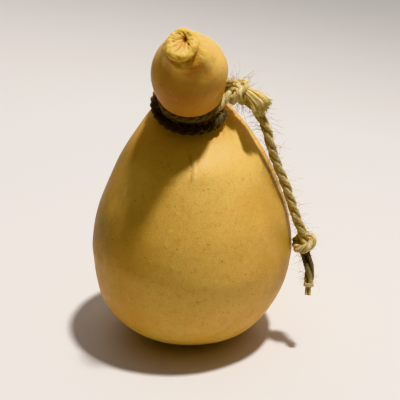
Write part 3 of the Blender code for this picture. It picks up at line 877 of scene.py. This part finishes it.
TAIL_ROUTE = (
    (0.0366, -0.0060, 0.1735), (0.0391, -0.0062, 0.1721), (0.0417, -0.0079, 0.1697),
    (0.0441, -0.0105, 0.1664), (0.0471, -0.0132, 0.1620), (0.0498, -0.0145, 0.1556),
    (0.0519, -0.0148, 0.1480), (0.0545, -0.0149, 0.1398), (0.0576, -0.0149, 0.1314),
    (0.0607, -0.0149, 0.1239), (0.0640, -0.0150, 0.1162), (0.0666, -0.0154, 0.1081),
    (0.0692, -0.0159, 0.1002), (0.0720, -0.0167, 0.0926), (0.0754, -0.0176, 0.0847),
    (0.0764, -0.0180, 0.0805),
)
TAIL_LAY = 0.030

tail = lay_rope("rope_tail_strands", TAIL_ROUTE, ROPE_RADIUS, 0.5, lay=TAIL_LAY)
tail.data.materials.append(sisal)
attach(tail, "root")
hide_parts("rope_tail")


# -------------------- end knot
# A single overhand knot stops the rope's end from unlaying.  It shows as one slanting loop drawn
# tight round the tail, with a dark gap where the tail goes in.

END_KNOT_CENTRE = np.array([0.0774, -0.0185, 0.0756])
LOOP_AXIS = np.array([-0.41, -0.27, 0.87]) / np.linalg.norm([-0.41, -0.27, 0.87])
LOOP_RADIUS = 0.0060
LOOP_START = 1.9
LOOP_TURN = 2 * math.pi * 1.10
CORE_ROUTE = (
    (0.0758, -0.0178, 0.0830), (0.0768, -0.0182, 0.0790), (0.0774, -0.0185, 0.0756),
    (0.0780, -0.0188, 0.0725), (0.0786, -0.0192, 0.0695),
)
TIGHT_ROPE_RADIUS = 0.0031

loop_across = np.cross((0.0, 1.0, 0.0), LOOP_AXIS)
loop_across /= np.linalg.norm(loop_across)
loop_over = np.cross(LOOP_AXIS, loop_across)
loop_route = []
for angle in np.linspace(LOOP_START, LOOP_START + LOOP_TURN, 18):
    step_up = 0.00035 * (angle - LOOP_START - math.pi)
    loop_route.append(END_KNOT_CENTRE + LOOP_RADIUS * math.cos(angle) * loop_across
                      + LOOP_RADIUS * math.sin(angle) * loop_over + step_up * LOOP_AXIS)
loop = lay_rope("end_knot_loop", loop_route, TIGHT_ROPE_RADIUS, 0.7)
core = lay_rope("end_knot_core", CORE_ROUTE, TIGHT_ROPE_RADIUS, 0.5)
for piece in (loop, core):
    piece.data.materials.append(sisal)
    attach(piece, "root")
    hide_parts("end_knot")


# -------------------- stub
# Below its knot the rope swings forward and has begun to unlay: a dark split runs down it.  Past
# the whipping a short thinner bundle of fibres sticks out.

STUB_ROUTE = (
    (0.0786, -0.0190, 0.0702), (0.0791, -0.0197, 0.0674), (0.0799, -0.0218, 0.0636),
    (0.0807, -0.0246, 0.0597), (0.0811, -0.0270, 0.0553), (0.0807, -0.0293, 0.0501),
    (0.0804, -0.0301, 0.0481),
)
TIP_ROUTE = ((0.0806, -0.0296, 0.0495), (0.0800, -0.0313, 0.0451), (0.0797, -0.0322, 0.0423))
STUB_RADIUS = 0.0031
TIP_RADIUS = 0.0022
STUB_LAY = 0.060
STUB_OPEN_BY = 1.25
# darker towards the knot: partly stain, partly painted shade
STUB_STAIN_AND_SHADE = ((0, 1.0), (0.35, 0.85), (0.7, 0.60), (1, 0.15))

stub = lay_rope("tail_stub_strands", STUB_ROUTE, STUB_RADIUS, 2.6, lay=STUB_LAY,
                open_by=STUB_OPEN_BY, stains_and_shade=STUB_STAIN_AND_SHADE)
tip = lay_rope("tail_stub_tip", TIP_ROUTE, TIP_RADIUS, 0.3, lay=STUB_LAY)
for piece in (stub, tip):
    piece.data.materials.append(sisal)
    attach(piece, "root")
    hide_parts("tail_stub")


# -------------------- whipping
# A few turns of pale linen thread, wound over the stub and drawn tight, hold its end together.
# The thread's own ends are tucked in under the turns.

THREAD_RADIUS = 0.00036
THREAD_TURNS = 5
MARKS_PER_TURN = 12
THREAD_MARKS = THREAD_TURNS * MARKS_PER_TURN
THREAD_SPACING = 0.0005
BAND_MIDDLE = np.array([0.08055, -0.02985, 0.0489])
BAND_AXIS = np.array([0.0007, 0.0020, 0.0050]) / np.linalg.norm([0.0007, 0.0020, 0.0050])
BAND_RADIUS = 0.0032
BAND_WIDTH = 0.0030

band_across = np.cross(BAND_AXIS, (0.0, 1.0, 0.0))
band_across /= np.linalg.norm(band_across)
band_over = np.cross(BAND_AXIS, band_across)
thread_route = []
for step in range(THREAD_MARKS + 1):
    angle = 2 * math.pi * step / MARKS_PER_TURN
    along_band = (step / THREAD_MARKS - 0.5) * (BAND_WIDTH - 2 * THREAD_RADIUS)
    thread_route.append(BAND_MIDDLE + along_band * BAND_AXIS + BAND_RADIUS * (
        math.cos(angle) * band_across + math.sin(angle) * band_over))
whipping = hairs("end_whipping_thread", [evenly(through(thread_route), THREAD_SPACING)],
                 THREAD_RADIUS, THREAD_RADIUS, 8, [0.0])

# Linen thread, spun and lightly waxed: smooth and pale, with a slight satin shine.
linen = bpy.data.materials.new("waxed_linen_thread")
linen.use_nodes = True
tree = linen.node_tree
shader = tree.nodes["Principled BSDF"]
place = add(tree, "TexCoord", output="Object")
PLY_WIDTH = 0.0006
PLY_DEPTH = 0.0001
ply = add(tree, "TexNoise", {"Vector": place, "Scale": 1.0 / PLY_WIDTH, "Detail": 3.0})
share = add(tree, "MapRange", {"Value": ply, "From Min": 0.40, "From Max": 0.65})
colour = add(tree, "Mix", {0: share, 6: linear("#e0cda0"), 7: linear("#b39a68")}, 2,
             data_type="RGBA")
tree.links.new(colour, shader.inputs["Base Color"])
bumps = add(tree, "Bump", {"Strength": 0.5, "Distance": PLY_DEPTH, "Height": ply})
tree.links.new(bumps, shader.inputs["Normal"])
shader.inputs["Roughness"].default_value = 0.55
whipping.data.materials.append(linen)
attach(whipping, "root")
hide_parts("end_whipping")


# -------------------- loose fibres
# Sisal breaks into stiff loose fibres all along the rope, most of all where it was handled and
# bent.  They spring out in thin curls, and the rope still holds each by its root.

LOOSE_RADIUS = 0.00010
LOOSE_LEAN = 0.5
LOOSE_BOW = 0.26
LOOSE_MARKS = 10


def sprouting(route, radius, count, lengths, seed):
    """Curved loose fibres that start on the rope's surface and stand off it."""
    chance = random.Random(seed)
    line = evenly(through(route), 0.001)
    along, across, over = frames_along(line, FIRST_ACROSS)
    paths = []
    for _ in range(count):
        index = chance.randrange(2, len(line) - 2)
        angle = 2 * math.pi * chance.random()
        out = math.cos(angle) * across[index] + math.sin(angle) * over[index]
        lean = LOOSE_LEAN * chance.choice((-1, 1)) * (0.6 + 0.8 * chance.random())
        way = out + lean * along[index]
        way = way / np.linalg.norm(way)
        droop = np.array([chance.gauss(0, 1), chance.gauss(0, 1), chance.gauss(-0.4, 1)])
        length = lengths[0] + (lengths[1] - lengths[0]) * chance.random() ** 2
        spot = line[index] + 0.75 * radius * out
        curl, phase = chance.uniform(1.5, 6.0), 6.3 * chance.random()
        path = []
        for step in range(LOOSE_MARKS):
            share = step / (LOOSE_MARKS - 1)
            sway = 0.10 * share * math.sin(phase + curl * share)
            bow = LOOSE_BOW * share**2 * droop + sway * along[index]
            path.append(spot + length * (share * way + bow))
        paths.append(path)
    return paths


# route, thickness, how many, shortest and longest, seed
tail_paths = sprouting(TAIL_ROUTE, ROPE_RADIUS, 430, (0.0015, 0.0125), 5)
tail_paths += sprouting(STUB_ROUTE, STUB_RADIUS, 120, (0.0015, 0.010), 6)
tail_paths += sprouting(loop_route, TIGHT_ROPE_RADIUS, 90, (0.0015, 0.008), 7)
neck_paths = sprouting(upper_route, ROPE_RADIUS, 120, (0.0015, 0.007), 8)
neck_paths += sprouting(lower_route, ROPE_RADIUS, 100, (0.0015, 0.007), 9)
for name, radius, route in KNOT_STRANDS[:4]:
    neck_paths += sprouting(route, radius, 70, (0.0015, 0.015), len(neck_paths))
for name, paths in (("tail_loose_fibres", tail_paths), ("neck_loose_fibres", neck_paths)):
    tones = [chance.uniform(-1.1, 0.3) for path in paths]
    piece = hairs(name, paths, LOOSE_RADIUS, 0.6 * LOOSE_RADIUS, 4, tones)
    piece.data.materials.append(sisal)
    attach(piece, "root")


# -------------------- studio
# The cheese stands on a wide sheet of pale card.  One small hard lamp is high up on the right,
# and a pale wall far behind gives the shadows a little light.

FLOOR_RADIUS = 2.4
FLOOR_SIDES = 64
LAMP_WAY = Vector((0.2260, -0.0400, 0.9733))
LAMP_DISTANCE = 3.0
LAMP_WIDTH = 0.27
LAMP_POWER = 98.0

corners = [(FLOOR_RADIUS * math.cos(a), FLOOR_RADIUS * math.sin(a), 0.0)
           for a in np.linspace(0, 2 * math.pi, FLOOR_SIDES, endpoint=False)]
floor_mesh = bpy.data.meshes.new("card_floor")
floor_mesh.from_pydata(corners, [], [tuple(range(FLOOR_SIDES))])
floor = bpy.data.objects.new("card_floor", floor_mesh)
bpy.context.scene.collection.objects.link(floor)

# Uncoated card, pressed smooth and quite matt: a pale ground that takes soft-edged shadows.  Its
# colour is painted darker far out, to the right at the back, and towards the front: painted shade
# where less light falls.
card = bpy.data.materials.new("pale_card")
card.use_nodes = True
tree = card.node_tree
shader = tree.nodes["Principled BSDF"]
place = add(tree, "TexCoord", output="Object")
out = add(tree, "VectorMath", {0: place}, "Value", operation="LENGTH")
away = add(tree, "VectorMath", {0: place, 1: (0.50, 0.35, 0.0)}, "Value",
           operation="DOT_PRODUCT")
front = add(tree, "SeparateXYZ", {0: place}, "Y")
colour = linear("#dedad8")
for value, first, last, most in ((out, 0.10, 0.40, 0.04), (away, 0.08, 0.65, 0.40),
                                 (front, -0.12, -0.40, 0.75)):
    share = add(tree, "MapRange", {"Value": value, "From Min": first, "From Max": last,
                                   "To Max": most}, interpolation_type="SMOOTHSTEP")
    colour = add(tree, "Mix", {0: share, 6: colour, 7: linear("#272727")}, 2, data_type="RGBA")
tree.links.new(colour, shader.inputs["Base Color"])
shader.inputs["Roughness"].default_value = 0.85
floor.data.materials.append(card)

lamp_data = bpy.data.lights.new("lamp", "AREA")
lamp_data.shape = "DISK"
lamp_data.size = LAMP_WIDTH
lamp_data.energy = LAMP_POWER
lamp_data.color = (1.0, 0.985, 0.950)
lamp = bpy.data.objects.new("lamp", lamp_data)
lamp.location = LAMP_DISTANCE * LAMP_WAY
lamp.rotation_euler = LAMP_WAY.to_track_quat("Z", "Y").to_euler()
bpy.context.scene.collection.objects.link(lamp)

# the room: light comes off the wall behind, a little from above and from the right
ROOM_GLOW = (((0.0, 0.99, 0.15), 1.00), ((0.0, 0.0, 1.0), 0.42), ((0.99, 0.0, 0.15), 0.22))
world = bpy.data.worlds.new("room")
bpy.context.scene.world = world
world.use_nodes = True
tree = world.node_tree
background = tree.nodes["Background"]
way = add(tree, "TexCoord", output="Generated")
glow = 0.0
for aim, most in ROOM_GLOW:
    facing = add(tree, "VectorMath", {0: way, 1: aim}, "Value", operation="DOT_PRODUCT")
    facing = add(tree, "Math", {0: facing, 1: 0.0}, operation="MAXIMUM")
    facing = add(tree, "Math", {0: facing, 1: 3.0}, operation="POWER")
    glow = add(tree, "Math", {0: facing, 1: most, 2: glow}, operation="MULTIPLY_ADD")
tree.links.new(glow, background.inputs["Strength"])
background.inputs["Color"].default_value = (1.0, 0.92, 0.86, 1.0)
tree.nodes.remove(tree.nodes["World Output"])
seen = tree.nodes.new("ShaderNodeBackground")
seen.inputs["Color"].default_value = linear("#d8d0c8")
direct = add(tree, "LightPath", output="Is Camera Ray")
either = add(tree, "MixShader", {0: direct, 1: background.outputs[0], 2: seen.outputs[0]})
tree.links.new(either, tree.nodes.new("ShaderNodeOutputWorld").inputs[0])
bpy.context.scene.view_settings.view_transform = "Khronos PBR Neutral"
